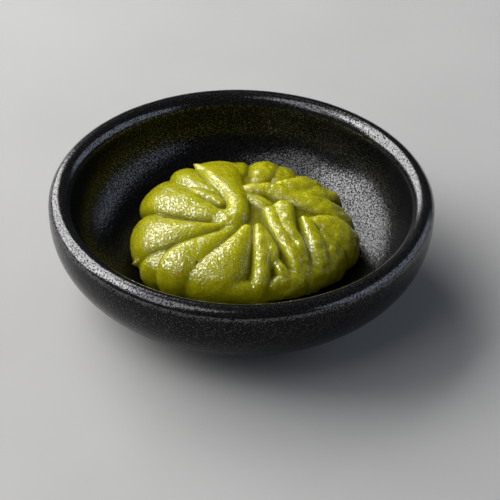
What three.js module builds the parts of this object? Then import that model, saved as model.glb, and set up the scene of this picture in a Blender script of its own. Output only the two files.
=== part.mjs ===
// A small round stoneware sauce dish that holds one portion of pleated wasabi paste.
// Millimetres, +Z up. The origin is on the dish's axis, where its foot ring meets the table.
import * as THREE from 'three';

// ---------------------------------------------------------------- driving dimensions: dish
const DISH_RADIUS = 40;            // widest circle, just below the rim
const DISH_HEIGHT = 22.5;          // table to the top of the rim
const RIM_OUTER = 2.2;             // the rim's quarter round outside
const RIM_INNER_R = 2.4;           // its quarter oval inside, across and up
const RIM_INNER_Z = 3.0;
const OUTER_WALL_TOP = DISH_HEIGHT - RIM_OUTER;
const INNER_WALL_TOP = DISH_HEIGHT - RIM_INNER_Z;
const INNER_RADIUS = DISH_RADIUS - RIM_OUTER - RIM_INNER_R;
const WALL_CURVE_R = 1.91;         // superellipse exponents of both walls, along the radius
const WALL_CURVE_Z = 2.49;         // and along the height
const OUTER_FLAT = 0.30;           // share of the radius that is flat below the outer wall
const INNER_FLAT = 0.485;          // share of the inner radius that is flat floor
const FLOOR_Z = 4.2;               // inside of the dish at its centre
const FOOT_OUTER = 22.6;           // foot ring
const FOOT_INNER = 19.6;
const FOOT_EDGE = 0.3;             // chamfer of the foot ring
const RECESS_Z = 1.4;              // underside inside the foot ring
const DISH_SIDES = 72;
const WALL_STEPS = 10;
const RIM_STEPS = 3;               // segments of each of the rim's two curves

// ---------------------------------------------------------------- driving dimensions: paste
const PASTE_X = 1.0;               // the portion sits a little behind the dish's centre
const PASTE_Y = 5.2;
const PASTE_HALF_X = 22.65;        // half axes of the portion's outline without its pleats
const PASTE_HALF_BACK = 20.9;
const PASTE_HALF_FRONT = 20.6;
const PASTE_SQUARENESS = 2.15;     // 2 would be a plain ellipse
const PASTE_TOP_Z = 14.6;          // top of the mound without its pleats
const PASTE_WIDEST_Z = 7.6;        // height of the widest section
const PASTE_FOOT_Z = 5.0;          // lowest edge of the side
const PASTE_CROWN_R = 2.7;         // superellipse exponents of the mound
const PASTE_CROWN_Z = 2.2;
const PASTE_UNDERCUT = 0.12;       // share of the radius by which the side turns in below
const PASTE_TILT = 0.03;           // rise of the top per millimetre towards the back
const PASTE_MEAN_RADIUS = 22;      // radius that the unrolled coordinates are measured at
const PASTE_GAP = 0.3;             // clearance to the glaze below
const PASTE_GRID = 52;             // quads along each side of the surface grid
const UNDERSIDE_RINGS = [0.72, 0.4];
const PLEAT_BLEND = 0.35;          // rounding where two pleats meet
const PLEAT_POWER = 2.6;           // 2 is a round ridge, more is flatter with narrower creases
const PLEAT_STEPS = 8;             // spline steps between two points of a pleat

// Swells and hollows of the outline: direction in degrees from +X, spread in degrees, depth.
const OUTLINE_SWELLS = [
  { at: 40, spread: 24, depth: -1.8 },
  { at: 150, spread: 22, depth: -0.5 },
  { at: 214, spread: 20, depth: 1.6 },
  { at: 308, spread: 26, depth: -0.5 },
];

// The hub that the left pleats run into.
const HUB = { x: -2.4, y: 0.9, height: 1.7, radius: 4.0, blend: 1.0 };

// Each pleat is a rounded ridge along a spline, from the hub out to the side. Its points are
// [x, y, height, half width on the left, half width on the right], in unrolled millimetres:
// x and y follow the mound's surface outwards from its centre, over the shoulder and down.
const PLEATS = {
  knob: [
    [-0.6, 2.0, 2.0, 2.8, 2.4], [-0.9, 5.6, 2.15, 2.5, 2.7], [-2.7, 9.8, 2.0, 2.2, 4.0],
    [-5.2, 14.4, 2.0, 2.5, 6.2], [-7.0, 18.4, 2.0, 2.7, 8.0], [-8.8, 24.0, 1.7, 2.6, 9.4],
  ],
  behind_knob: [
    [-0.6, 18.4, 0.8, 1.8, 1.8], [-0.8, 21.0, 1.1, 2.4, 2.4], [-1.0, 27.0, 1.1, 3.0, 3.0],
  ],
  back_left_lower: [
    [-4.4, 6.3, 1.1, 1.3, 1.5], [-6.9, 8.4, 1.45, 1.7, 2.0], [-9.8, 10.3, 1.4, 2.0, 2.2],
    [-12.4, 13.0, 0.8, 2.2, 2.2],
  ],
  back_left_upper: [
    [-4.9, 8.8, 1.0, 1.3, 1.5], [-7.4, 11.1, 1.5, 1.7, 2.3], [-10.0, 13.1, 1.8, 2.2, 3.2],
    [-12.3, 16.2, 2.1, 2.8, 4.0], [-13.8, 22.6, 1.9, 3.6, 4.2],
  ],
  left_back: [
    [-3.8, 1.4, 1.2, 1.7, 2.2], [-7.0, 2.6, 1.7, 2.6, 3.4], [-10.8, 5.0, 1.9, 3.6, 4.6],
    [-14.8, 8.4, 2.0, 4.8, 6.2], [-18.2, 12.2, 2.0, 5.8, 7.2], [-21.8, 17.4, 1.6, 6.4, 7.8],
  ],
  left: [
    [-4.4, -1.4, 1.0, 1.0, 1.0], [-8.0, -2.2, 1.6, 2.4, 2.2], [-12.0, -2.6, 1.9, 3.6, 3.8],
    [-16.6, -2.6, 2.0, 5.0, 6.4], [-21.0, -2.0, 1.9, 6.4, 8.6], [-27.0, -1.4, 1.4, 7.0, 9.4],
  ],
  left_front: [
    [-1.9, -2.6, 0.9, 1.4, 1.2], [-5.6, -5.4, 1.6, 3.0, 2.4], [-9.6, -8.2, 2.0, 4.8, 3.8],
    [-13.4, -11.0, 2.2, 5.6, 4.6], [-16.4, -14.4, 2.3, 5.6, 3.8], [-18.6, -19.0, 1.9, 5.2, 3.8],
  ],
  left_front_side: [
    [-16.6, -8.8, 1.0, 2.4, 2.6], [-19.4, -10.4, 1.8, 3.6, 4.2], [-22.2, -12.6, 2.2, 4.4, 5.4],
    [-25.4, -15.4, 2.2, 4.8, 6.0],
  ],
  front_left: [
    [1.0, -2.4, 1.5, 1.8, 1.4], [0.0, -5.6, 1.8, 3.0, 2.8], [-1.4, -8.8, 2.0, 4.2, 4.2],
    [-3.2, -12.0, 2.1, 5.6, 5.8], [-6.2, -15.4, 2.1, 6.4, 7.2], [-10.2, -19.4, 1.7, 6.0, 7.2],
  ],
  front_toe: [
    [-7.0, -18.2, 1.5, 2.4, 2.8], [-3.4, -17.2, 1.8, 2.9, 3.4], [0.6, -17.4, 1.9, 3.0, 3.6],
    [4.4, -18.6, 1.7, 2.8, 3.6],
  ],
  front: [
    [3.5, -1.4, 1.1, 1.2, 1.1], [4.0, -4.6, 1.7, 1.4, 1.8], [4.5, -8.6, 1.9, 1.8, 2.2],
    [4.7, -12.4, 1.9, 1.9, 2.4], [4.5, -16.4, 1.8, 2.0, 2.7],
  ],
  front_flank: [
    [4.4, -2.2, 0.9, 1.4, 1.4], [5.4, -5.4, 1.4, 1.9, 1.8], [6.4, -8.4, 1.5, 2.0, 2.0],
    [6.2, -10.8, 1.0, 1.6, 1.8],
  ],
  front_branch: [
    [6.9, -10.0, 0.8, 1.2, 1.0], [8.3, -11.9, 1.5, 1.6, 1.4], [9.8, -14.0, 1.7, 2.0, 1.8],
  ],
  front_right_inner: [
    [6.3, 3.8, 1.5, 1.6, 2.2], [6.7, 1.0, 1.8, 1.7, 1.9], [7.7, -2.4, 1.8, 1.7, 1.7],
    [9.5, -6.0, 1.9, 1.9, 1.8], [11.3, -9.4, 1.8, 2.2, 1.9], [13.1, -13.0, 1.4, 2.6, 2.2],
  ],
  front_right_outer: [
    [8.8, 5.0, 2.0, 2.6, 2.6], [9.2, 2.0, 2.0, 2.4, 2.9], [9.9, -1.4, 1.9, 2.0, 2.5],
    [11.3, -4.6, 1.9, 2.0, 2.1], [12.7, -8.4, 1.7, 2.0, 1.9], [14.2, -12.4, 1.4, 2.0, 1.9],
  ],
  right_front: [
    [13.0, 1.9, 1.2, 1.4, 1.0], [14.0, -0.8, 1.8, 2.2, 1.7], [15.2, -3.6, 1.9, 2.6, 2.2],
    [16.4, -6.8, 1.8, 2.8, 2.4], [17.8, -10.6, 1.5, 3.4, 2.8],
  ],
  right: [
    [14.6, 1.7, 1.1, 1.8, 1.6], [17.8, 1.6, 1.9, 3.6, 3.6], [21.2, 0.8, 2.2, 4.8, 5.0],
    [26.0, -1.2, 2.0, 5.8, 6.0],
  ],
  right_side: [
    [17.0, -2.0, 1.3, 1.8, 1.5], [19.4, -4.2, 1.8, 2.6, 2.6], [22.6, -7.6, 1.6, 4.0, 4.0],
  ],
  right_toe: [
    [5.8, -17.2, 1.4, 2.4, 3.4], [9.2, -15.2, 1.8, 2.6, 3.6], [13.4, -13.5, 1.8, 3.0, 4.0],
    [17.4, -11.3, 1.7, 3.6, 4.4], [21.4, -8.1, 1.6, 4.4, 4.6],
  ],
  long_back_right: [
    [-0.6, 10.9, 0.9, 1.5, 1.5], [2.0, 11.0, 1.7, 2.0, 2.0], [6.0, 11.0, 2.0, 2.4, 2.6],
    [10.2, 9.8, 1.9, 2.8, 3.2], [14.4, 8.2, 1.9, 3.6, 3.4], [18.6, 6.9, 1.6, 4.2, 3.4],
    [24.0, 5.4, 0.9, 4.2, 3.2],
  ],
  back: [
    [3.8, 15.6, 1.0, 2.2, 2.2], [4.5, 18.6, 1.5, 3.4, 3.2], [5.0, 22.0, 1.6, 4.0, 3.6],
    [5.4, 28.0, 1.3, 4.2, 4.0],
  ],
  back_narrow: [
    [8.2, 16.2, 0.7, 2.4, 2.4], [9.2, 19.2, 1.1, 3.0, 3.0], [10.0, 26.0, 1.2, 3.4, 3.4],
  ],
  back_right: [
    [8.6, 13.3, 1.5, 2.0, 1.6], [11.3, 13.8, 2.0, 3.6, 2.8], [13.9, 15.4, 2.0, 4.2, 3.8],
    [16.0, 20.0, 1.5, 4.6, 4.0],
  ],
  back_right_side: [
    [13.4, 11.4, 1.3, 2.2, 2.2], [16.6, 12.6, 1.8, 3.4, 3.2], [20.0, 15.2, 1.6, 3.8, 3.6],
  ],
  saddle: [
    [0.9, 9.0, 0.9, 1.6, 1.8], [3.2, 7.4, 1.1, 2.2, 2.0], [5.0, 5.8, 1.1, 2.0, 2.0],
  ],
};

// ---------------------------------------------------------------- dish
// A wall is one superellipse quarter that starts flat and ends upright.
function wallPoint(radius, flat, bottom, top, angle) {
  const reach = Math.sin(angle) ** (2 / WALL_CURVE_R);
  const rise = 1 - Math.cos(angle) ** (2 / WALL_CURVE_Z);
  return new THREE.Vector2(radius * (flat + (1 - flat) * reach), bottom + (top - bottom) * rise);
}

// Height of the dish's inside above the table, at a distance from its axis.
function floorHeight(distance) {
  const reach = Math.max(0, (distance / INNER_RADIUS - INNER_FLAT) / (1 - INNER_FLAT));
  const rise = 1 - Math.max(0, 1 - reach ** WALL_CURVE_R) ** (1 / WALL_CURVE_Z);
  return FLOOR_Z + (INNER_WALL_TOP - FLOOR_Z) * rise;
}

// Angle on the outer wall where it leaves the foot ring.
function footAngle() {
  const reach = (FOOT_OUTER / DISH_RADIUS - OUTER_FLAT) / (1 - OUTER_FLAT);
  return Math.asin(reach ** (WALL_CURVE_R / 2));
}

function dishProfile() {
  const points = [
    new THREE.Vector2(0, RECESS_Z),
    new THREE.Vector2(FOOT_INNER - FOOT_EDGE, RECESS_Z),
    new THREE.Vector2(FOOT_INNER, FOOT_EDGE),
    new THREE.Vector2(FOOT_INNER + FOOT_EDGE, 0),
    new THREE.Vector2(FOOT_OUTER - 2 * FOOT_EDGE, 0),
    new THREE.Vector2(FOOT_OUTER - FOOT_EDGE, FOOT_EDGE),
  ];
  const first = footAngle();
  for (let step = 0; step < WALL_STEPS; step += 1) {
    const angle = first + (Math.PI / 2 - first) * (step / WALL_STEPS);
    points.push(wallPoint(DISH_RADIUS, OUTER_FLAT, 0, OUTER_WALL_TOP, angle));
  }
  const crest = DISH_RADIUS - RIM_OUTER;
  for (let step = 0; step <= 2 * RIM_STEPS; step += 1) {
    const angle = (Math.PI / 2) * (step / RIM_STEPS);
    const across = step < RIM_STEPS ? RIM_OUTER : RIM_INNER_R;
    const up = step < RIM_STEPS ? RIM_OUTER : RIM_INNER_Z;
    points.push(new THREE.Vector2(
      crest + across * Math.cos(angle),
      DISH_HEIGHT - up + up * Math.sin(angle),
    ));
  }
  for (let step = WALL_STEPS - 1; step >= 0; step -= 1) {
    const angle = (Math.PI / 2) * (step / WALL_STEPS);
    points.push(wallPoint(INNER_RADIUS, INNER_FLAT, FLOOR_Z, INNER_WALL_TOP, angle));
  }
  points.push(new THREE.Vector2(0, FLOOR_Z));
  return points;
}

function dishGeometry() {
  const geometry = new THREE.LatheGeometry(dishProfile(), DISH_SIDES);
  geometry.rotateX(Math.PI / 2);
  return geometry;
}

// ---------------------------------------------------------------- paste: the mound
// Outline radius of the mound in one direction, without pleats.
function outlineRadius(direction) {
  const across = Math.abs(Math.cos(direction)) / PASTE_HALF_X;
  const half = Math.sin(direction) > 0 ? PASTE_HALF_BACK : PASTE_HALF_FRONT;
  const along = Math.abs(Math.sin(direction)) / half;
  const sum = across ** PASTE_SQUARENESS + along ** PASTE_SQUARENESS;
  let radius = sum ** (-1 / PASTE_SQUARENESS);
  for (const swell of OUTLINE_SWELLS) {
    const turn = direction - THREE.MathUtils.degToRad(swell.at);
    const apart = Math.atan2(Math.sin(turn), Math.cos(turn)) / THREE.MathUtils.degToRad(swell.spread);
    radius += swell.depth * Math.exp(-apart * apart);
  }
  return radius;
}

// Section of the mound from its top over the shoulder to its foot: the share of the outline
// radius and the height, with the distance along the surface at the mean radius.
function moundSection() {
  const crownSteps = 400;
  const sideSteps = 100;
  const section = [];
  for (let step = 0; step < crownSteps; step += 1) {
    const share = Math.sin((Math.PI / 2) * (step / (crownSteps - 1)));
    const rise = Math.max(0, 1 - share ** PASTE_CROWN_R) ** (1 / PASTE_CROWN_Z);
    section.push({ share, z: PASTE_WIDEST_Z + (PASTE_TOP_Z - PASTE_WIDEST_Z) * rise });
  }
  for (let step = 1; step < sideSteps; step += 1) {
    const angle = (Math.PI / 2) * (step / (sideSteps - 1));
    section.push({
      share: 1 - PASTE_UNDERCUT + PASTE_UNDERCUT * Math.cos(angle),
      z: PASTE_WIDEST_Z - (PASTE_WIDEST_Z - PASTE_FOOT_Z) * Math.sin(angle),
    });
  }
  section[0].length = 0;
  for (let index = 1; index < section.length; index += 1) {
    const before = section[index - 1];
    const here = section[index];
    const out = (here.share - before.share) * PASTE_MEAN_RADIUS;
    here.length = before.length + Math.hypot(out, here.z - before.z);
  }
  return section;
}

const SECTION = moundSection();
const SECTION_LENGTH = SECTION[SECTION.length - 1].length;

function sectionAt(length) {
  let low = 0;
  let high = SECTION.length - 1;
  while (high - low > 1) {
    const middle = (low + high) >> 1;
    if (SECTION[middle].length > length) high = middle;
    else low = middle;
  }
  const span = SECTION[high].length - SECTION[low].length;
  const part = THREE.MathUtils.clamp((length - SECTION[low].length) / span, 0, 1);
  return {
    share: THREE.MathUtils.lerp(SECTION[low].share, SECTION[high].share, part),
    z: THREE.MathUtils.lerp(SECTION[low].z, SECTION[high].z, part),
  };
}

// Point on the plain mound at unrolled coordinates.
function moundPoint(x, y) {
  const direction = Math.atan2(y - PASTE_Y, x - PASTE_X);
  const radius = outlineRadius(direction);
  const length = Math.hypot(x - PASTE_X, y - PASTE_Y) * (PASTE_MEAN_RADIUS / radius);
  const { share, z } = sectionAt(length);
  const away = share * radius * Math.sin(direction);
  const level = THREE.MathUtils.clamp((z - PASTE_FOOT_Z) / (PASTE_TOP_Z - PASTE_FOOT_Z), 0, 1);
  return new THREE.Vector3(
    PASTE_X + share * radius * Math.cos(direction),
    PASTE_Y + away,
    z + PASTE_TILT * away * level,
  );
}

function moundNormal(x, y) {
  const step = 0.05;
  const alongX = moundPoint(x + step, y).sub(moundPoint(x - step, y));
  const alongY = moundPoint(x, y + step).sub(moundPoint(x, y - step));
  return alongX.cross(alongY).normalize();
}

// ---------------------------------------------------------------- paste: the pleats
// Catmull-Rom spline through a pleat's points, every value splined alike.
function splinePleat(points) {
  const last = points.length - 1;
  const line = [];
  for (let span = 0; span < last; span += 1) {
    const a = points[Math.max(span - 1, 0)];
    const b = points[span];
    const c = points[span + 1];
    const d = points[Math.min(span + 2, last)];
    for (let step = 0; step < PLEAT_STEPS; step += 1) {
      const t = step / PLEAT_STEPS;
      line.push(b.map((_, k) => 0.5 * (
        2 * b[k] + (c[k] - a[k]) * t
        + (2 * a[k] - 5 * b[k] + 4 * c[k] - d[k]) * t ** 2
        + (3 * b[k] - a[k] - 3 * c[k] + d[k]) * t ** 3
      )));
    }
  }
  line.push(points[last]);
  return line;
}

const PLEAT_LINES = Object.values(PLEATS).map(splinePleat);

// Height of one pleat at unrolled coordinates, a flat-topped ridge across its nearest stretch.
function pleatHeight(line, x, y) {
  let nearest = Infinity;
  let height = 0;
  for (let index = 1; index < line.length; index += 1) {
    const [ax, ay, ah, al, ar] = line[index - 1];
    const [bx, by, bh, bl, br] = line[index];
    const dx = bx - ax;
    const dy = by - ay;
    const length = Math.hypot(dx, dy);
    const part = THREE.MathUtils.clamp(((x - ax) * dx + (y - ay) * dy) / length ** 2, 0, 1);
    const ex = x - ax - part * dx;
    const ey = y - ay - part * dy;
    const distance = Math.hypot(ex, ey) + 1e-9;
    if (distance < nearest) {
      const side = (dx * ey - dy * ex) / length / distance;
      const left = THREE.MathUtils.lerp(al, bl, part);
      const right = THREE.MathUtils.lerp(ar, br, part);
      const width = (left + right) / 2 + ((left - right) / 2) * side;
      const profile = Math.max(0, 1 - (distance / width) ** PLEAT_POWER);
      nearest = distance;
      height = THREE.MathUtils.lerp(ah, bh, part) * profile;
    }
  }
  return height;
}

// The larger of two heights, with the crease between them rounded.
function blend(a, b, rounding) {
  if (Math.min(a, b) <= 0) return Math.max(a, b);
  const close = Math.max(0, rounding - Math.abs(a - b));
  return Math.max(a, b) + close ** 2 / (4 * rounding);
}

function relief(x, y) {
  let height = 0;
  for (const line of PLEAT_LINES) height = blend(height, pleatHeight(line, x, y), PLEAT_BLEND);
  const fromHub = Math.hypot(x - HUB.x, y - HUB.y) / HUB.radius;
  const hub = HUB.height * Math.max(0, 1 - fromHub ** 2);
  return blend(height, hub, HUB.blend);
}

// Point on the pleated surface, kept clear of the dish below.
function pastePoint(x, y) {
  const point = moundPoint(x, y).addScaledVector(moundNormal(x, y), relief(x, y));
  point.z = Math.max(point.z, floorHeight(Math.hypot(point.x, point.y)) + PASTE_GAP);
  return point;
}

// ---------------------------------------------------------------- paste: the solid
// Even map of the square -1..1 onto the unit disc.
function squareToDisc(u, v) {
  if (u === 0 && v === 0) return { radius: 0, direction: 0 };
  if (Math.abs(u) > Math.abs(v)) {
    return { radius: Math.abs(u), direction: (Math.PI / 4) * (v / u) + (u < 0 ? Math.PI : 0) };
  }
  const turn = Math.PI / 2 - (Math.PI / 4) * (u / v);
  return { radius: Math.abs(v), direction: turn + (v < 0 ? Math.PI : 0) };
}

function gridPoint(column, row) {
  const u = (2 * column) / PASTE_GRID - 1;
  const v = (2 * row) / PASTE_GRID - 1;
  const { radius, direction } = squareToDisc(u, v);
  const reach = radius * SECTION_LENGTH * (outlineRadius(direction) / PASTE_MEAN_RADIUS);
  return pastePoint(PASTE_X + reach * Math.cos(direction), PASTE_Y + reach * Math.sin(direction));
}

// The grid's border, anticlockwise seen from above.
function borderIndices() {
  const n = PASTE_GRID;
  const at = (column, row) => row * (n + 1) + column;
  const border = [];
  for (let k = 0; k < n; k += 1) border.push(at(k, 0));
  for (let k = 0; k < n; k += 1) border.push(at(n, k));
  for (let k = n; k > 0; k -= 1) border.push(at(k, n));
  for (let k = n; k > 0; k -= 1) border.push(at(0, k));
  return border;
}

function pasteGeometry() {
  const n = PASTE_GRID;
  const vertices = [];
  const triangles = [];
  for (let row = 0; row <= n; row += 1) {
    for (let column = 0; column <= n; column += 1) vertices.push(gridPoint(column, row));
  }
  for (let row = 0; row < n; row += 1) {
    for (let column = 0; column < n; column += 1) {
      const a = row * (n + 1) + column;
      const b = a + 1;
      const c = b + n + 1;
      const d = a + n + 1;
      // The diagonal runs outwards from the middle of the grid.
      if ((column < n / 2) === (row < n / 2)) triangles.push(a, b, c, a, c, d);
      else triangles.push(a, b, d, b, c, d);
    }
  }

  // Underside: rings of the border drawn in towards the middle, a gap above the dish.
  let outer = borderIndices();
  const border = outer.map((index) => vertices[index]);
  for (const share of UNDERSIDE_RINGS) {
    const inner = border.map((edge) => {
      const x = THREE.MathUtils.lerp(PASTE_X, edge.x, share);
      const y = THREE.MathUtils.lerp(PASTE_Y, edge.y, share);
      vertices.push(new THREE.Vector3(x, y, floorHeight(Math.hypot(x, y)) + PASTE_GAP));
      return vertices.length - 1;
    });
    outer.forEach((index, k) => {
      const next = (k + 1) % outer.length;
      triangles.push(index, inner[k], outer[next], outer[next], inner[k], inner[next]);
    });
    outer = inner;
  }
  const centreZ = floorHeight(Math.hypot(PASTE_X, PASTE_Y)) + PASTE_GAP;
  vertices.push(new THREE.Vector3(PASTE_X, PASTE_Y, centreZ));
  const centre = vertices.length - 1;
  outer.forEach((index, k) => {
    triangles.push(index, centre, outer[(k + 1) % outer.length]);
  });

  const geometry = new THREE.BufferGeometry().setFromPoints(vertices);
  geometry.setIndex(triangles);
  geometry.computeVertexNormals();
  return geometry;
}

// ---------------------------------------------------------------- materials and meshes
const glaze = new THREE.MeshStandardMaterial({ color: 0x141416, roughness: 0.45, metalness: 0 });
const paste = new THREE.MeshStandardMaterial({ color: 0x9c9d1f, roughness: 0.35, metalness: 0 });

const dish = new THREE.Mesh(dishGeometry(), glaze);
dish.name = 'dish';

const wasabiPaste = new THREE.Mesh(pasteGeometry(), paste);
wasabiPaste.name = 'wasabi_paste';

const servedPaste = new THREE.Group();
servedPaste.add(dish, wasabiPaste);

export default servedPaste;
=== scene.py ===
import math

import bpy
import numpy as np
from mathutils import Matrix, Vector, noise


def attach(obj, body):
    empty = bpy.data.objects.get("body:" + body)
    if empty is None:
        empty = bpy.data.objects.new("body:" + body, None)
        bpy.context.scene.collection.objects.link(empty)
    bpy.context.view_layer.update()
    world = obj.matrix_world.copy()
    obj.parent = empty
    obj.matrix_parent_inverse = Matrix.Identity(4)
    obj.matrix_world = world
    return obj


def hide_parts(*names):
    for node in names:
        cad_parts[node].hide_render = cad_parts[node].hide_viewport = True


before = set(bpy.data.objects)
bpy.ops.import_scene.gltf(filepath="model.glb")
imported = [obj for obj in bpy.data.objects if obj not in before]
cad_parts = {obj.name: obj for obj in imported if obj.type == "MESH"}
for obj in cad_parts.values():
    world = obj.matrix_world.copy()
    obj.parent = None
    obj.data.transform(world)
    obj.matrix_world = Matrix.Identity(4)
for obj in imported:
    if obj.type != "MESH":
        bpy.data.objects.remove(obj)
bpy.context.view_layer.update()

MM = 0.001

# ------------------------------------------------------------------ camera
FRAME_PIXELS = 500
FOCAL_PIXELS = 2299.0          # focal length in pixels of the 500 x 500 frame
SENSOR_MM = 36.0
CAMERA_ELEVATION = math.radians(38.02)
CAMERA_ROLL = math.radians(1.26)
CAMERA_DISTANCE = 0.4885       # from the dish's centre on the table
ORIGIN_PIXEL = (240.0, 277.7)  # where that centre falls in the frame

# ------------------------------------------------------------------ dish, in millimetres
DISH_RADIUS = 39.97            # just inside the CAD dish's 40 by 22.5, as it is uneven
DISH_HEIGHT = 22.47
RIM_OUTER = 2.2                # the rim rounds over more tightly outside than inside
RIM_INNER_R = 2.4
RIM_INNER_Z = 3.0
OUTER_WALL_TOP = DISH_HEIGHT - RIM_OUTER
INNER_WALL_TOP = DISH_HEIGHT - RIM_INNER_Z
INNER_RADIUS = DISH_RADIUS - RIM_OUTER - RIM_INNER_R
WALL_CURVE_R = 1.91            # superellipse exponents of the walls
WALL_CURVE_Z = 2.49
OUTER_FLAT = 0.30              # share of a wall's radius that is flat at its bottom
INNER_FLAT = 0.485
FLOOR_Z = 4.2
FOOT_OUTER = 22.6
FOOT_INNER = 19.6
FOOT_EDGE = 0.3
RECESS_Z = 1.4
AXIS_RING = 0.5                # radius of the rings next to the axis
DISH_SIDES = 560               # points round each ring, then rings along each stretch
WALL_STEPS = 56
RIM_STEPS = 20
RECESS_STEPS = 5
FOOT_STEPS = 2
FLOOR_STEPS = 6

# The dish is a little uneven, as thrown: outward as a share of the radius, and upward. Each
# wave is its rate per millimetre and its weight.
UNEVEN_OUT = 0.0012
UNEVEN_UP = 0.03
UNEVEN_WAVES = ((0.09, 0.5), (0.3, 0.25))
UNEVEN_SHIFT = -0.5            # mostly inward and down, so the CAD dish's size is kept
UNEVEN_FADE = 2.0              # height over which it fades towards the foot

# ------------------------------------------------------------------ paste, in millimetres
PASTE_X = 1.0                  # centre of the mound under the pleats
PASTE_Y = 5.2
PASTE_HALF_X = 22.65
PASTE_HALF_BACK = 20.9
PASTE_HALF_FRONT = 20.6
PASTE_SQUARENESS = 2.15        # superellipse exponents of its outline and its section
PASTE_CROWN_R = 2.7
PASTE_CROWN_Z = 2.2
PASTE_TOP_Z = 14.6
PASTE_WIDEST_Z = 7.6
PASTE_FOOT_Z = 5.0
PASTE_UNDERCUT = 0.12          # share of the radius that it draws in below its widest
PASTE_TILT = 0.03              # rise per millimetre towards the back
PASTE_MEAN_RADIUS = 22.0       # turns shares of the radius into unrolled millimetres
PASTE_GAP = 0.3                # between the paste and the glaze
PASTE_GRID = 300               # cells along each side of the mesh's square grid
CROWN_STEPS = 400              # points of the mound's section, above and below its widest
SIDE_STEPS = 100
UNDERSIDE_RINGS = (0.72, 0.4)  # shares of the outline, from the edge in
PLEAT_BLEND = 0.35             # depth over which the crease between two pleats is rounded
PLEAT_POWER = 2.6              # 2 is a round ridge, more is flatter with narrower creases
PLEAT_STEPS = 8                # spline steps between two points of a pleat

# Grated root is lumpy and has a grain: each wave is its rate per millimetre and its depth.
# The lumps grow to the right, and both fade in the creases, below this lift.
LUMP_WAVES = ((0.28, 0.14), (0.62, 0.12), (0.95, 0.04))
GRAIN_WAVES = ((1.25, 0.05), (2.3, 0.02))
LUMPS_LEFT = 0.7
LUMPS_ADDED = 1.4
LUMPS_FROM_X = 1.0
LUMPS_OVER_X = 5.0
CREASE_GRAIN = 0.35
CREST_LIFT = 1.6

# Swells and hollows of the outline: direction and spread in degrees, depth.
OUTLINE_SWELLS = ((40, 24, -1.8), (150, 22, -0.5), (214, 20, 1.6), (308, 26, -0.5))

# The low hub where the pleats meet.
HUB_X, HUB_Y, HUB_HEIGHT, HUB_RADIUS, HUB_BLEND = -2.4, 0.9, 1.7, 4.0, 1.0

# Torn bits at the paste's edge: where each springs, how far it sticks out, its radius.
TORN_POINT = 1.6               # 1 is a cone, more is a sharper tip
TORN_BITS = (
    ((-8.9, 19.5, 14.4), (-1.8, 1.4, 0.2), 1.9),
    ((-21.2, -6.2, 8.0), (-1.6, -0.6, 0.1), 1.6),
)

# Flecks of skin in the paste: place and radius in millimetres, colour.
SPECKS = (
    ((-12.8, -13.3, 11.3), 0.50, (0.60, 0.25, 0.001)),
    ((-8.9, -11.7, 12.9), 0.40, (0.09, 0.085, 0.001)),
)

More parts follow.
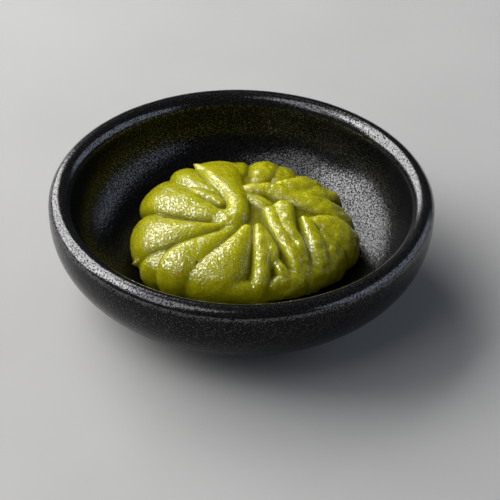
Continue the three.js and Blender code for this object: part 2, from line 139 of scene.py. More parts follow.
# The pleats of the CAD paste: points of each ridge from the hub out to the side, as
# (x, y, height, half width on the left, half width on the right) in unrolled millimetres.
PLEATS = {
    "knob": (
        (-0.6, 2.0, 2.0, 2.8, 2.4), (-0.9, 5.6, 2.15, 2.5, 2.7), (-2.7, 9.8, 2.0, 2.2, 4.0),
        (-5.2, 14.4, 2.0, 2.5, 6.2), (-7.0, 18.4, 2.0, 2.7, 8.0), (-8.8, 24.0, 1.7, 2.6, 9.4),
    ),
    "behind_knob": (
        (-0.6, 18.4, 0.8, 1.8, 1.8), (-0.8, 21.0, 1.1, 2.4, 2.4), (-1.0, 27.0, 1.1, 3.0, 3.0),
    ),
    "back_left_lower": (
        (-4.4, 6.3, 1.1, 1.3, 1.5), (-6.9, 8.4, 1.45, 1.7, 2.0), (-9.8, 10.3, 1.4, 2.0, 2.2),
        (-12.4, 13.0, 0.8, 2.2, 2.2),
    ),
    "back_left_upper": (
        (-4.9, 8.8, 1.0, 1.3, 1.5), (-7.4, 11.1, 1.5, 1.7, 2.3), (-10.0, 13.1, 1.8, 2.2, 3.2),
        (-12.3, 16.2, 2.1, 2.8, 4.0), (-13.8, 22.6, 1.9, 3.6, 4.2),
    ),
    "left_back": (
        (-3.8, 1.4, 1.2, 1.7, 2.2), (-7.0, 2.6, 1.7, 2.6, 3.4), (-10.8, 5.0, 1.9, 3.6, 4.6),
        (-14.8, 8.4, 2.0, 4.8, 6.2), (-18.2, 12.2, 2.0, 5.8, 7.2), (-21.8, 17.4, 1.6, 6.4, 7.8),
    ),
    "left": (
        (-4.4, -1.4, 1.0, 1.0, 1.0), (-8.0, -2.2, 1.6, 2.4, 2.2), (-12.0, -2.6, 1.9, 3.6, 3.8),
        (-16.6, -2.6, 2.0, 5.0, 6.4), (-21.0, -2.0, 1.9, 6.4, 8.6), (-27.0, -1.4, 1.4, 7.0, 9.4),
    ),
    "left_front": (
        (-1.9, -2.6, 0.9, 1.4, 1.2), (-5.6, -5.4, 1.6, 3.0, 2.4), (-9.6, -8.2, 2.0, 4.8, 3.8),
        (-13.4, -11.0, 2.2, 5.6, 4.6), (-16.4, -14.4, 2.3, 5.6, 3.8), (-18.6, -19.0, 1.9, 5.2, 3.8),
    ),
    "left_front_side": (
        (-16.6, -8.8, 1.0, 2.4, 2.6), (-19.4, -10.4, 1.8, 3.6, 4.2), (-22.2, -12.6, 2.2, 4.4, 5.4),
        (-25.4, -15.4, 2.2, 4.8, 6.0),
    ),
    "front_left": (
        (1.0, -2.4, 1.5, 1.8, 1.4), (0.0, -5.6, 1.8, 3.0, 2.8), (-1.4, -8.8, 2.0, 4.2, 4.2),
        (-3.2, -12.0, 2.1, 5.6, 5.8), (-6.2, -15.4, 2.1, 6.4, 7.2), (-10.2, -19.4, 1.7, 6.0, 7.2),
    ),
    "front_toe": (
        (-7.0, -18.2, 1.5, 2.4, 2.8), (-3.4, -17.2, 1.8, 2.9, 3.4), (0.6, -17.4, 1.9, 3.0, 3.6),
        (4.4, -18.6, 1.7, 2.8, 3.6),
    ),
    "front": (
        (3.5, -1.4, 1.1, 1.2, 1.1), (4.0, -4.6, 1.7, 1.4, 1.8), (4.5, -8.6, 1.9, 1.8, 2.2),
        (4.7, -12.4, 1.9, 1.9, 2.4), (4.5, -16.4, 1.8, 2.0, 2.7),
    ),
    "front_flank": (
        (4.4, -2.2, 0.9, 1.4, 1.4), (5.4, -5.4, 1.4, 1.9, 1.8), (6.4, -8.4, 1.5, 2.0, 2.0),
        (6.2, -10.8, 1.0, 1.6, 1.8),
    ),
    "front_branch": (
        (6.9, -10.0, 0.8, 1.2, 1.0), (8.3, -11.9, 1.5, 1.6, 1.4), (9.8, -14.0, 1.7, 2.0, 1.8),
    ),
    "front_right_inner": (
        (6.3, 3.8, 1.5, 1.6, 2.2), (6.7, 1.0, 1.8, 1.7, 1.9), (7.7, -2.4, 1.8, 1.7, 1.7),
        (9.5, -6.0, 1.9, 1.9, 1.8), (11.3, -9.4, 1.8, 2.2, 1.9), (13.1, -13.0, 1.4, 2.6, 2.2),
    ),
    "front_right_outer": (
        (8.8, 5.0, 2.0, 2.6, 2.6), (9.2, 2.0, 2.0, 2.4, 2.9), (9.9, -1.4, 1.9, 2.0, 2.5),
        (11.3, -4.6, 1.9, 2.0, 2.1), (12.7, -8.4, 1.7, 2.0, 1.9), (14.2, -12.4, 1.4, 2.0, 1.9),
    ),
    "right_front": (
        (13.0, 1.9, 1.2, 1.4, 1.0), (14.0, -0.8, 1.8, 2.2, 1.7), (15.2, -3.6, 1.9, 2.6, 2.2),
        (16.4, -6.8, 1.8, 2.8, 2.4), (17.8, -10.6, 1.5, 3.4, 2.8),
    ),
    "right": (
        (14.6, 1.7, 1.1, 1.8, 1.6), (17.8, 1.6, 1.9, 3.6, 3.6), (21.2, 0.8, 2.2, 4.8, 5.0),
        (26.0, -1.2, 2.0, 5.8, 6.0),
    ),
    "right_side": (
        (17.0, -2.0, 1.3, 1.8, 1.5), (19.4, -4.2, 1.8, 2.6, 2.6), (22.6, -7.6, 1.6, 4.0, 4.0),
    ),
    "right_toe": (
        (5.8, -17.2, 1.4, 2.4, 3.4), (9.2, -15.2, 1.8, 2.6, 3.6), (13.4, -13.5, 1.8, 3.0, 4.0),
        (17.4, -11.3, 1.7, 3.6, 4.4), (21.4, -8.1, 1.6, 4.4, 4.6),
    ),
    "long_back_right": (
        (-0.6, 10.9, 0.9, 1.5, 1.5), (2.0, 11.0, 1.7, 2.0, 2.0), (6.0, 11.0, 2.0, 2.4, 2.6),
        (10.2, 9.8, 1.9, 2.8, 3.2), (14.4, 8.2, 1.9, 3.6, 3.4), (18.6, 6.9, 1.6, 4.2, 3.4),
        (24.0, 5.4, 0.9, 4.2, 3.2),
    ),
    "back": (
        (3.8, 15.6, 1.0, 2.2, 2.2), (4.5, 18.6, 1.5, 3.4, 3.2), (5.0, 22.0, 1.6, 4.0, 3.6),
        (5.4, 28.0, 1.3, 4.2, 4.0),
    ),
    "back_narrow": (
        (8.2, 16.2, 0.7, 2.4, 2.4), (9.2, 19.2, 1.1, 3.0, 3.0), (10.0, 26.0, 1.2, 3.4, 3.4),
    ),
    "back_right": (
        (8.6, 13.3, 1.5, 2.0, 1.6), (11.3, 13.8, 2.0, 3.6, 2.8), (13.9, 15.4, 2.0, 4.2, 3.8),
        (16.0, 20.0, 1.5, 4.6, 4.0),
    ),
    "back_right_side": (
        (13.4, 11.4, 1.3, 2.2, 2.2), (16.6, 12.6, 1.8, 3.4, 3.2), (20.0, 15.2, 1.6, 3.8, 3.6),
    ),
    "saddle": (
        (0.9, 9.0, 0.9, 1.6, 1.8), (3.2, 7.4, 1.1, 2.2, 2.0), (5.0, 5.8, 1.1, 2.0, 2.0),
    ),
}


def make_camera():
    """The photograph's view: a long lens, tilted by the roll, aimed just off the dish's centre."""
    back = Vector((0, -math.cos(CAMERA_ELEVATION), math.sin(CAMERA_ELEVATION)))
    level_right = Vector((1, 0, 0))
    level_up = back.cross(level_right)
    right = math.cos(CAMERA_ROLL) * level_right + math.sin(CAMERA_ROLL) * level_up
    up = back.cross(right)
    aside = (FRAME_PIXELS / 2 - ORIGIN_PIXEL[0]) / FOCAL_PIXELS
    above = (ORIGIN_PIXEL[1] - FRAME_PIXELS / 2) / FOCAL_PIXELS
    aim_back = (back - aside * right - above * up).normalized()
    aim_right = (right - right.dot(aim_back) * aim_back).normalized()
    aim_up = aim_back.cross(aim_right)
    data = bpy.data.cameras.new("camera")
    data.sensor_width = SENSOR_MM
    data.lens = FOCAL_PIXELS * SENSOR_MM / FRAME_PIXELS
    camera = bpy.data.objects.new("camera", data)
    turn = Matrix((aim_right, aim_up, aim_back)).transposed()
    camera.matrix_world = Matrix.Translation(back * CAMERA_DISTANCE) @ turn.to_4x4()
    bpy.context.scene.collection.objects.link(camera)
    bpy.context.scene.camera = camera


def mesh_object(name, points, faces):
    """A smooth mesh object from points in millimetres."""
    mesh = bpy.data.meshes.new(name)
    mesh.from_pydata(np.asarray(points) * MM, [], faces)
    mesh.polygons.foreach_set("use_smooth", [True] * len(mesh.polygons))
    mesh.update()
    piece = bpy.data.objects.new(name, mesh)
    bpy.context.scene.collection.objects.link(piece)
    return piece


def point_values(piece, name, values):
    """Keeps one number for each point of a mesh, for its material to read."""
    kept = piece.data.attributes.new(name, "FLOAT", "POINT")
    kept.data.foreach_set("value", np.asarray(values, np.float32))


def waves(spot, rates):
    """Sum of noise waves at a point, each with its rate per millimetre and its depth."""
    return sum(noise.noise(spot * rate) * depth for rate, depth in rates)


# ------------------------------------------------------------------ dish
def wall_point(radius, flat, bottom, top, angle):
    """Radius and height on a wall, a quarter superellipse from its flat bottom to its top."""
    reach = math.sin(angle) ** (2 / WALL_CURVE_R)
    rise = 1 - max(0.0, math.cos(angle)) ** (2 / WALL_CURVE_Z)
    return radius * (flat + (1 - flat) * reach), bottom + (top - bottom) * rise


def floor_height(distance):
    """Height of the dish's inside at a distance from its axis."""
    reach = np.clip((distance / INNER_RADIUS - INNER_FLAT) / (1 - INNER_FLAT), 0, 1)
    rise = 1 - (1 - reach ** WALL_CURVE_R) ** (1 / WALL_CURVE_Z)
    return FLOOR_Z + (INNER_WALL_TOP - FLOOR_Z) * rise


def stretch(start, end, steps):
    """Points along a straight stretch of the profile, without its end."""
    return [
        (start[0] + (end[0] - start[0]) * k / steps, start[1] + (end[1] - start[1]) * k / steps)
        for k in range(steps)
    ]


def dish_profile():
    """The dish's section from the axis below, round the rim, to the axis inside."""
    foot = [
        (AXIS_RING, RECESS_Z),
        (FOOT_INNER - FOOT_EDGE, RECESS_Z),
        (FOOT_INNER, FOOT_EDGE),
        (FOOT_INNER + FOOT_EDGE, 0.0),
        (FOOT_OUTER - 2 * FOOT_EDGE, 0.0),
        (FOOT_OUTER - FOOT_EDGE, FOOT_EDGE),
    ]
    outer_reach = (FOOT_OUTER / DISH_RADIUS - OUTER_FLAT) / (1 - OUTER_FLAT)
    first = math.asin(outer_reach ** (WALL_CURVE_R / 2))
    profile = [(0.0, RECESS_Z)] + stretch(foot[0], foot[1], RECESS_STEPS)
    for k in range(1, len(foot) - 1):
        profile += stretch(foot[k], foot[k + 1], FOOT_STEPS)
    profile.append(foot[-1])
    for k in range(WALL_STEPS):
        angle = first + (math.pi / 2 - first) * k / WALL_STEPS
        profile.append(wall_point(DISH_RADIUS, OUTER_FLAT, 0, OUTER_WALL_TOP, angle))
    for k in range(RIM_STEPS + 1):
        angle = math.pi * k / RIM_STEPS
        across, up = (RIM_OUTER, RIM_OUTER) if 2 * k < RIM_STEPS else (RIM_INNER_R, RIM_INNER_Z)
        radius = DISH_RADIUS - RIM_OUTER + across * math.cos(angle)
        profile.append((radius, DISH_HEIGHT - up + up * math.sin(angle)))
    for k in range(WALL_STEPS - 1, -1, -1):
        angle = math.pi / 2 * k / WALL_STEPS
        profile.append(wall_point(INNER_RADIUS, INNER_FLAT, FLOOR_Z, INNER_WALL_TOP, angle))
    flat_edge, near_axis = (INNER_RADIUS * INNER_FLAT, FLOOR_Z), (AXIS_RING, FLOOR_Z)
    profile += stretch(flat_edge, near_axis, FLOOR_STEPS)[1:] + [near_axis, (0.0, FLOOR_Z)]
    return profile


def make_dish():
    """The dish turned on its axis, a little uneven, as thrown stoneware is."""
    profile = dish_profile()
    rings = profile[1:-1]  # the two points on the axis come first, then the rings
    points = [(0, 0, profile[0][1]), (0, 0, profile[-1][1])]
    for radius, z in rings:
        for side in range(DISH_SIDES):
            angle = 2 * math.pi * side / DISH_SIDES
            spot = Vector((radius * math.cos(angle), radius * math.sin(angle), z))
            above_foot = min(1.0, max(0.0, (z - FOOT_EDGE) / UNEVEN_FADE))
            uneven = waves(spot, UNEVEN_WAVES) + UNEVEN_SHIFT
            scale = 1 + above_foot * UNEVEN_OUT * uneven
            points.append((spot.x * scale, spot.y * scale, z + above_foot * UNEVEN_UP * uneven))
    faces = []
    for side in range(DISH_SIDES):
        after = (side + 1) % DISH_SIDES
        faces.append((0, 2 + after, 2 + side))
        for ring in range(len(rings) - 1):
            low = 2 + ring * DISH_SIDES
            high = low + DISH_SIDES
            faces.append((low + side, low + after, high + after, high + side))
        last = 2 + (len(rings) - 1) * DISH_SIDES
        faces.append((1, last + side, last + after))
    dish = mesh_object("dish_stoneware", points, faces)
    crest = max(range(len(rings)), key=lambda ring: rings[ring][1])
    outside = [1.0, 0.0]
    for ring in range(len(rings)):
        outside += [float(ring < crest)] * DISH_SIDES
    point_values(dish, "outside", outside)
    return dish


# ------------------------------------------------------------------ paste: the mound
def outline_radius(direction):
    """The mound's radius in each direction from its centre."""
    half = np.where(np.sin(direction) > 0, PASTE_HALF_BACK, PASTE_HALF_FRONT)
    across = np.abs(np.cos(direction)) / PASTE_HALF_X
    along = np.abs(np.sin(direction)) / half
    radius = (across ** PASTE_SQUARENESS + along ** PASTE_SQUARENESS) ** (-1 / PASTE_SQUARENESS)
    for at, spread, depth in OUTLINE_SWELLS:
        turn = direction - math.radians(at)
        apart = np.arctan2(np.sin(turn), np.cos(turn)) / math.radians(spread)
        radius = radius + depth * np.exp(-apart ** 2)
    return radius


def mound_section():
    """Distance along the surface, share of the outline radius and height, top to foot."""
    share = np.sin(np.linspace(0, math.pi / 2, CROWN_STEPS))
    rise = np.clip(1 - share ** PASTE_CROWN_R, 0, 1) ** (1 / PASTE_CROWN_Z)
    crown_z = PASTE_WIDEST_Z + (PASTE_TOP_Z - PASTE_WIDEST_Z) * rise
    angle = np.linspace(0, math.pi / 2, SIDE_STEPS)[1:]
    side_share = 1 - PASTE_UNDERCUT + PASTE_UNDERCUT * np.cos(angle)
    side_z = PASTE_WIDEST_Z - (PASTE_WIDEST_Z - PASTE_FOOT_Z) * np.sin(angle)
    share = np.concatenate([share, side_share])
    z = np.concatenate([crown_z, side_z])
    steps = np.hypot(np.diff(share) * PASTE_MEAN_RADIUS, np.diff(z))
    return np.concatenate([[0], np.cumsum(steps)]), share, z


SECTION_LENGTH, SECTION_SHARE, SECTION_Z = mound_section()


def mound_point(x, y):
    """Points on the plain mound at unrolled coordinates."""
    direction = np.arctan2(y - PASTE_Y, x - PASTE_X)
    radius = outline_radius(direction)
    length = np.hypot(x - PASTE_X, y - PASTE_Y) * PASTE_MEAN_RADIUS / radius
    share = np.interp(length, SECTION_LENGTH, SECTION_SHARE)
    z = np.interp(length, SECTION_LENGTH, SECTION_Z)
    away = share * radius * np.sin(direction)
    level = np.clip((z - PASTE_FOOT_Z) / (PASTE_TOP_Z - PASTE_FOOT_Z), 0, 1)
    plan_x = PASTE_X + share * radius * np.cos(direction)
    return np.stack([plan_x, PASTE_Y + away, z + PASTE_TILT * away * level], -1)


def mound_normal(x, y):
    """The mound's outward normals at unrolled coordinates."""
    step = 0.05
    along_x = mound_point(x + step, y) - mound_point(x - step, y)
    along_y = mound_point(x, y + step) - mound_point(x, y - step)
    normal = np.cross(along_x, along_y)
    return normal / np.linalg.norm(normal, axis=-1, keepdims=True)


# ------------------------------------------------------------------ paste: the pleats
def spline_pleat(points):
    """Catmull-Rom spline through a pleat's points, every value splined alike."""
    points = np.array(points, float)
    last = len(points) - 1
    line = []
    for span in range(last):
        a, b = points[max(span - 1, 0)], points[span]
        c, d = points[span + 1], points[min(span + 2, last)]
        for step in range(PLEAT_STEPS):
            t = step / PLEAT_STEPS
            square = (2 * a - 5 * b + 4 * c - d) * t ** 2
            cube = (3 * b - a - 3 * c + d) * t ** 3
            line.append(0.5 * (2 * b + (c - a) * t + square + cube))
    line.append(points[last])
    return line


def pleat_height(line, x, y):
    """Height of one pleat: a rounded ridge across its nearest stretch."""
    nearest = np.full(x.shape, np.inf)
    height = np.zeros(x.shape)
    for a, b in zip(line[:-1], line[1:]):
        reach = max(a[3], a[4], b[3], b[4]) + 1
        inside = (
            (x > min(a[0], b[0]) - reach) & (x < max(a[0], b[0]) + reach)
            & (y > min(a[1], b[1]) - reach) & (y < max(a[1], b[1]) + reach)
        )
        px, py = x[inside], y[inside]
        dx, dy = b[0] - a[0], b[1] - a[1]
        length = math.hypot(dx, dy)
        part = np.clip(((px - a[0]) * dx + (py - a[1]) * dy) / length ** 2, 0, 1)
        ex, ey = px - a[0] - part * dx, py - a[1] - part * dy
        distance = np.hypot(ex, ey) + 1e-9
        side = (dx * ey - dy * ex) / length / distance
        left = a[3] + (b[3] - a[3]) * part
        right = a[4] + (b[4] - a[4]) * part
        width = (left + right) / 2 + (left - right) / 2 * side
        value = (a[2] + (b[2] - a[2]) * part) * np.clip(1 - (distance / width) ** PLEAT_POWER, 0, 1)
        closer = distance < nearest[inside]
        nearest[inside] = np.where(closer, distance, nearest[inside])
        height[inside] = np.where(closer, value, height[inside])
    return height


def blend(a, b, rounding):
    """The larger of two heights, with the crease between them rounded."""
    close = np.clip(rounding - np.abs(a - b), 0, None) * (np.minimum(a, b) > 0)
    return np.maximum(a, b) + close ** 2 / (4 * rounding)


def relief(x, y):
    """Height of the pleats and the hub above the plain mound."""
    height = np.zeros(x.shape)
    for points in PLEATS.values():
        height = blend(height, pleat_height(spline_pleat(points), x, y), PLEAT_BLEND)
    from_hub = np.hypot(x - HUB_X, y - HUB_Y) / HUB_RADIUS
    return blend(height, HUB_HEIGHT * np.clip(1 - from_hub ** 2, 0, 1), HUB_BLEND)


# ------------------------------------------------------------------ paste: the solid
def square_to_disc(u, v):
    """Even map of the square -1..1 onto the unit disc, as radius and direction."""
    wide = np.abs(u) > np.abs(v)
    u_safe = np.where(wide, u, 1)
    v_safe = np.where(wide | (v == 0), 1, v)
    across = math.pi / 4 * v / u_safe + np.where(u < 0, math.pi, 0)
    along = math.pi / 2 - math.pi / 4 * u / v_safe + np.where(v < 0, math.pi, 0)
    return np.where(wide, np.abs(u), np.abs(v)), np.where(wide, across, along)


def paste_grain(points, lift):
    """Fine unevenness of grated root: lumps, and a grain that is strongest on the crests."""
    grain = np.empty(len(points))
    for k, point in enumerate(points):
        spot = Vector(point)
        rightward = min(1.0, max(0.0, (point[0] - LUMPS_FROM_X) / LUMPS_OVER_X))
        lumps = waves(spot, LUMP_WAVES) * (LUMPS_LEFT + LUMPS_ADDED * rightward)
        grain[k] = lumps + waves(spot, GRAIN_WAVES)
    return grain * (CREASE_GRAIN + (1 - CREASE_GRAIN) * np.clip(lift / CREST_LIFT, 0, 1))


def make_paste():
    """The pleated portion: a square grid laid over the mound, closed by a plain underside."""
    steps = np.linspace(-1, 1, PASTE_GRID + 1)
    u, v = np.meshgrid(steps, steps)
    radius, direction = square_to_disc(u.ravel(), v.ravel())
    reach = radius * SECTION_LENGTH[-1] * outline_radius(direction) / PASTE_MEAN_RADIUS
    x = PASTE_X + reach * np.cos(direction)
    y = PASTE_Y + reach * np.sin(direction)
    lift = relief(x, y)
    points = mound_point(x, y) + mound_normal(x, y) * lift[:, None]
    points += mound_normal(x, y) * paste_grain(points, lift)[:, None]
    for place, reach_out, width in TORN_BITS:
        nearness = np.clip(1 - np.linalg.norm(points - place, axis=1) / width, 0, 1)
        points += nearness[:, None] ** TORN_POINT * reach_out
    clear = floor_height(np.hypot(points[:, 0], points[:, 1])) + PASTE_GAP
    points[:, 2] = np.maximum(points[:, 2], clear)

    index = np.arange(u.size).reshape(u.shape)
    quads = np.stack([index[:-1, :-1], index[:-1, 1:], index[1:, 1:], index[1:, :-1]], -1)
    faces = quads.reshape(-1, 4).tolist()
    outer = np.concatenate([index[0, :-1], index[:-1, -1], index[-1, :0:-1], index[:0:-1, 0]])
    border = points[outer]
    for share in UNDERSIDE_RINGS:
        ring_x = PASTE_X + (border[:, 0] - PASTE_X) * share
        ring_y = PASTE_Y + (border[:, 1] - PASTE_Y) * share
        ring_z = floor_height(np.hypot(ring_x, ring_y)) + PASTE_GAP
        inner = len(points) + np.arange(len(outer))
        points = np.concatenate([points, np.stack([ring_x, ring_y, ring_z], -1)])
        after_outer, after_inner = np.roll(outer, -1), np.roll(inner, -1)
        faces += np.stack([outer, inner, after_inner, after_outer], -1).tolist()
        outer = inner
    middle_z = floor_height(np.hypot(PASTE_X, PASTE_Y)) + PASTE_GAP
    centre = len(points)
    points = np.concatenate([points, [[PASTE_X, PASTE_Y, middle_z]]])
    faces += [(int(k), centre, int(after)) for k, after in zip(outer, np.roll(outer, -1))]

    piece = mesh_object("paste_pleated", points, faces)
    heights = np.zeros(len(points))
    heights[: len(lift)] = lift
    point_values(piece, "pleat_height", heights)
    return piece


# ------------------------------------------------------------------ materials
# The glaze's grain, and the paste's: the size and depth of each layer in millimetres.
GLAZE_GRAIN = ((0.50, 0.055), (0.27, 0.022))
PASTE_GRAIN = ((0.60, 0.14), (0.34, 0.075))

# Other noise, by the size of its patches in millimetres.
GLAZE_MOTTLE = 6
GLAZE_POLISH = 0.7
FLECK_SIZE = 0.32
PASTE_MOTTLE = 3.2
PULP_SIZE = 0.36
FILM_SIZE = 0.46
FLOOR_MOTTLE = 40

# Where the rim and the upper wall begin and are complete, as shares of the dish's height.
RIM_BAND = (0.88, 0.93)
UPPER_WALL_BAND = (0.40, 0.72)

# How much the noise that the glaze's bright flecks rise from is raised in each region.
FLECKS_ON_RIM = 0.08
FLECKS_ON_WALL = -0.11
FLECKS_IN_BOWL = 0.035

# The paste's colour where it is pulpy, the painted shade that darkens its creases, and how far each
# goes there. A pleat this high, in millimetres, has no painted crease shade at its top.
PULP_COLOUR = (0.53, 0.51, 0.016, 1)
PULP_SHARE = 0.4
CREASE_SHADE_COLOUR = (0.17, 0.16, 0.001, 1)
CREASE_SHADE_SHARE = 0.80
PLEAT_FULL_HEIGHT = 2.0

# How far light goes in the paste, in millimetres, and how far each colour goes of that.
SCATTER_DEPTH = 6.0
SCATTER_COLOUR = (1.0, 0.9, 0.15)


class Nodes:
    """A material's node tree, with a short way to add and join nodes."""

    def __init__(self, name):
        self.material = bpy.data.materials.new(name)
        self.material.use_nodes = True
        self.tree = self.material.node_tree
        self.shader = self.tree.nodes["Principled BSDF"]
        at = self.add("ShaderNodeTexCoord").outputs
        self.place, self.facing = at["Object"], at["Normal"]

    def add(self, kind, inputs=(), **settings):
        """A node of this kind, its inputs set or linked and its settings made."""
        node = self.tree.nodes.new(kind)
        for key, value in settings.items():
            setattr(node, key, value)
        for key, value in dict(inputs).items():
            self.join(value, node.inputs[key])
        return node

    def join(self, value, socket):
        """Links an output to a socket, or sets the socket to a plain value."""
        if isinstance(value, bpy.types.NodeSocket):
            self.tree.links.new(value, socket)
        else:
            socket.default_value = value

    def noise(self, size_mm, detail):
        """Noise from 0 to 1 with a grain of this size and this many finer layers."""
        inputs = {"Vector": self.place, "Scale": 1 / (size_mm * MM), "Detail": detail}
        return self.add("ShaderNodeTexNoise", inputs).outputs["Fac"]

    def ramp(self, value, stops):
        """A colour or grey ramp: stops are (position, colour or grey)."""
        node = self.add("ShaderNodeValToRGB", {"Fac": value})
        elements = node.color_ramp.elements
        while len(elements) < len(stops):
            elements.new(0.5)
        for element, (position, colour) in zip(elements, stops):
            element.position = position
            grey = isinstance(colour, (int, float))
            element.color = (colour, colour, colour, 1) if grey else (*colour, 1)
        return node.outputs["Color"]

    def fade(self, value, start, end):
        """0 up to the start and 1 from the end on."""
        return self.ramp(value, [(start, 0.0), (end, 1.0)])

    def mix(self, share, first, second):
        """The first colour, mixed towards the second by the share."""
        node = self.add("ShaderNodeMix", data_type="RGBA")
        self.join(share, self.live(node.inputs, "Factor"))
        self.join(first, self.live(node.inputs, "A"))
        self.join(second, self.live(node.inputs, "B"))
        return self.live(node.outputs, "Result")

    @staticmethod
    def live(sockets, name):
        """The socket of this name that the node's data type uses."""
        return next(socket for socket in sockets if socket.name == name and socket.enabled)

    def math(self, operation, *values):
        """The result of one operation on numbers or outputs."""
        node = self.add("ShaderNodeMath", operation=operation)
        for value, socket in zip(values, node.inputs):
            self.join(value, socket)
        return node.outputs["Value"]

    def grain(self, layers, strength=1.0):
        """A normal roughened by layers of noise, each with its size and its depth."""
        normal = None
        for size_mm, depth_mm in layers:
            inputs = {"Height": self.noise(size_mm, 1.0), "Distance": depth_mm * MM}
            inputs["Strength"] = strength
            if normal is not None:
                inputs["Normal"] = normal
            normal = self.add("ShaderNodeBump", inputs).outputs["Normal"]
        return normal


def glaze_material():
    """Near-black glaze, metallic where it breaks on the rim; its grain sparks in the light."""
    nodes = Nodes("stoneware_glaze")
    shader = nodes.shader.inputs
    height = nodes.add("ShaderNodeSeparateXYZ", {"Vector": nodes.place}).outputs["Z"]
    height_share = nodes.math("DIVIDE", height, DISH_HEIGHT * MM)
    rim = nodes.fade(height_share, *RIM_BAND)
    upper_wall = nodes.fade(height_share, *UPPER_WALL_BAND)
    outside = nodes.add("ShaderNodeAttribute", attribute_name="outside").outputs["Fac"]
    wall_or_rim = nodes.math("MAXIMUM", outside, upper_wall)
    wall = nodes.math("MULTIPLY", wall_or_rim, nodes.math("SUBTRACT", 1.0, rim))
    bowl = nodes.math("SUBTRACT", 1.0, wall_or_rim)

    cover = nodes.noise(FLECK_SIZE, 1.0)
    for region, added in ((rim, FLECKS_ON_RIM), (wall, FLECKS_ON_WALL), (bowl, FLECKS_IN_BOWL)):
        cover = nodes.math("MULTIPLY_ADD", region, added, cover)
    flecks = nodes.fade(cover, 0.46, 0.56)
    mottle = nodes.noise(GLAZE_MOTTLE, 3)
    tone = nodes.ramp(mottle, [(0.3, (0.002, 0.002, 0.002)), (0.75, (0.005, 0.005, 0.006))])
    shine = nodes.mix(rim, (0.078, 0.078, 0.081, 1), (0.12, 0.12, 0.125, 1))
    nodes.join(nodes.mix(flecks, tone, shine), shader["Base Color"])
    nodes.join(flecks, shader["Metallic"])
    polish = nodes.ramp(nodes.noise(GLAZE_POLISH, 2), [(0.35, 0.12), (0.7, 0.22)])
    nodes.join(polish, shader["Roughness"])
    softer_on_rim = nodes.math("MULTIPLY_ADD", rim, -0.5, 1.0)
    nodes.join(nodes.grain(GLAZE_GRAIN, softer_on_rim), shader["Normal"])
    shader["Specular IOR Level"].default_value = 0.12
    return nodes.material


def with_speck(nodes, body, place, radius, colour):
    """The paste's colour with a fleck of skin that fades from half its radius outward."""
    centre = tuple(value * MM for value in place)
    distance = nodes.add("ShaderNodeVectorMath", {0: nodes.place, 1: centre}, operation="DISTANCE")
    radii = nodes.math("DIVIDE", distance.outputs["Value"], radius * MM)
    share = nodes.ramp(radii, [(0.5, 1.0), (1.0, 0.0)])
    return nodes.mix(share, body, (*colour, 1))


def paste_material():
    """Moist wasabi paste: yellow-green, a little translucent, with painted shade darkening the
    creases.
    """
    nodes = Nodes("wasabi_paste")
    shader = nodes.shader.inputs
    pulp = nodes.fade(nodes.noise(PULP_SIZE, 1), 0.50, 0.62)
    height = nodes.add("ShaderNodeAttribute", attribute_name="pleat_height").outputs["Fac"]
    crease = nodes.ramp(nodes.math("DIVIDE", height, PLEAT_FULL_HEIGHT), [(0.10, 1.0), (0.62, 0.0)])
    mottle = nodes.noise(PASTE_MOTTLE, 3)
    body = nodes.ramp(mottle, [(0.32, (0.36, 0.347, 0.002)), (0.68, (0.45, 0.432, 0.006))])
    body = nodes.mix(nodes.math("MULTIPLY", pulp, PULP_SHARE), body, PULP_COLOUR)
    # Painted shade: the body colour is darkened towards a shadow olive where the pleats are low, in
    # the creases.
    body = nodes.mix(nodes.math("MULTIPLY", crease, CREASE_SHADE_SHARE), body, CREASE_SHADE_COLOUR)
    for place, radius, colour in SPECKS:
        body = with_speck(nodes, body, place, radius, colour)
    nodes.join(body, shader["Base Color"])
    nodes.join(nodes.math("MULTIPLY_ADD", pulp, 0.2, 0.25), shader["Roughness"])
    grain = nodes.grain(PASTE_GRAIN)
    nodes.join(grain, shader["Normal"])
    shader["IOR"].default_value = 1.5
    shader["Specular IOR Level"].default_value = 0.15
    shader["Subsurface Weight"].default_value = 1.0
    shader["Subsurface Radius"].default_value = SCATTER_COLOUR
    shader["Subsurface Scale"].default_value = SCATTER_DEPTH * MM

    # A broken film of moisture lies on what faces up, and not in the creases.
    upward = nodes.add("ShaderNodeSeparateXYZ", {"Vector": nodes.facing}).outputs["Z"]
    faces_up = nodes.fade(upward, 0.30, 0.62)
    film = nodes.fade(nodes.noise(FILM_SIZE, 1.0), 0.49, 0.56)
    on_crests = nodes.math("SUBTRACT", 1.0, crease)
    moisture = nodes.math("MULTIPLY", nodes.math("MULTIPLY", film, faces_up), on_crests)
    nodes.join(moisture, shader["Coat Weight"])
    nodes.join(grain, shader["Coat Normal"])
    shader["Coat IOR"].default_value = 2.3
    shader["Coat Roughness"].default_value = 0.09
    return nodes.material


def floor_material():
    """A pale matt floor, barely uneven in tone."""
    nodes = Nodes("pale_floor")
    mottle = nodes.noise(FLOOR_MOTTLE, 2)
    tone = nodes.ramp(mottle, [(0.3, (0.46, 0.46, 0.46)), (0.7, (0.49, 0.49, 0.49))])
    nodes.join(tone, nodes.shader.inputs["Base Color"])
    nodes.shader.inputs["Roughness"].default_value = 0.75
    return nodes.material


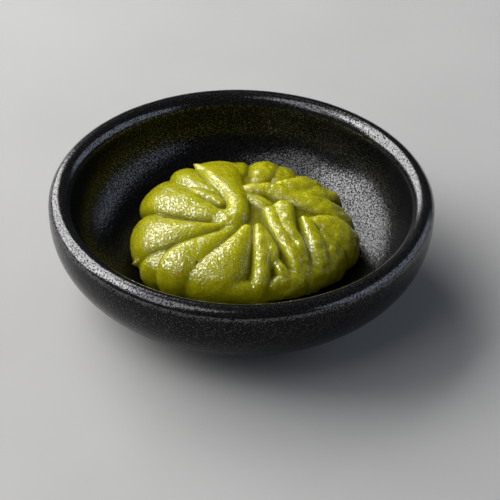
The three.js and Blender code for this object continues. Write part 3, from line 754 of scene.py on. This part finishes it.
# ------------------------------------------------------------------ stage and light
FLOOR_HALF = 2000              # half the floor's width in millimetres

# Soft boxes: bearing from +X and height in degrees, distance and size in metres, power in
# watts, colour.
LIGHTS = {
    "key": (149, 35, 0.70, (0.95, 0.66), 9.5, (1.0, 0.985, 0.96)),
    "cool_side": (0, 20, 0.70, (1.25, 0.45), 1.6, (0.75, 0.84, 1.0)),
    "left_fill": (203, 52, 0.90, (0.80, 0.80), 2.9, (1.0, 1.0, 1.0)),
}
ROOM_COLOUR = (0.9, 0.95, 1.0, 1)
ROOM_STRENGTH = 0.03


def make_floor():
    """The pale floor, wider than any view of it."""
    far = FLOOR_HALF
    points = [(-far, -far, 0), (far, -far, 0), (far, far, 0), (-far, far, 0)]
    floor = mesh_object("floor", points, [(0, 1, 2, 3)])
    floor.data.materials.append(floor_material())


def area_light(name, bearing, height, distance, size, power, colour):
    """A soft box that looks at the dish."""
    data = bpy.data.lights.new(name, "AREA")
    data.shape = "RECTANGLE"
    data.size, data.size_y = size
    data.energy = power
    data.color = colour
    light = bpy.data.objects.new(name, data)
    across, rise = math.radians(bearing), math.radians(height)
    level = math.cos(rise)
    direction = Vector((level * math.cos(across), level * math.sin(across), math.sin(rise)))
    place = direction * distance
    turn = place.to_track_quat("Z", "Y")
    light.matrix_world = Matrix.Translation(place) @ turn.to_matrix().to_4x4()
    bpy.context.scene.collection.objects.link(light)


def make_light():
    """A large key light from the back left, a cool strip on the right and a weak fill."""
    for name, settings in LIGHTS.items():
        area_light(name, *settings)
    world = bpy.data.worlds.new("studio")
    world.use_nodes = True
    background = world.node_tree.nodes["Background"]
    background.inputs["Color"].default_value = ROOM_COLOUR
    background.inputs["Strength"].default_value = ROOM_STRENGTH
    bpy.context.scene.world = world


make_camera()
make_floor()
make_light()

dish = make_dish()
dish.data.materials.append(glaze_material())
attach(dish, "root")
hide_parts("dish")

paste = make_paste()
paste.data.materials.append(paste_material())
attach(paste, "root")
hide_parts("wasabi_paste")

bpy.context.scene.view_settings.view_transform = "Standard"
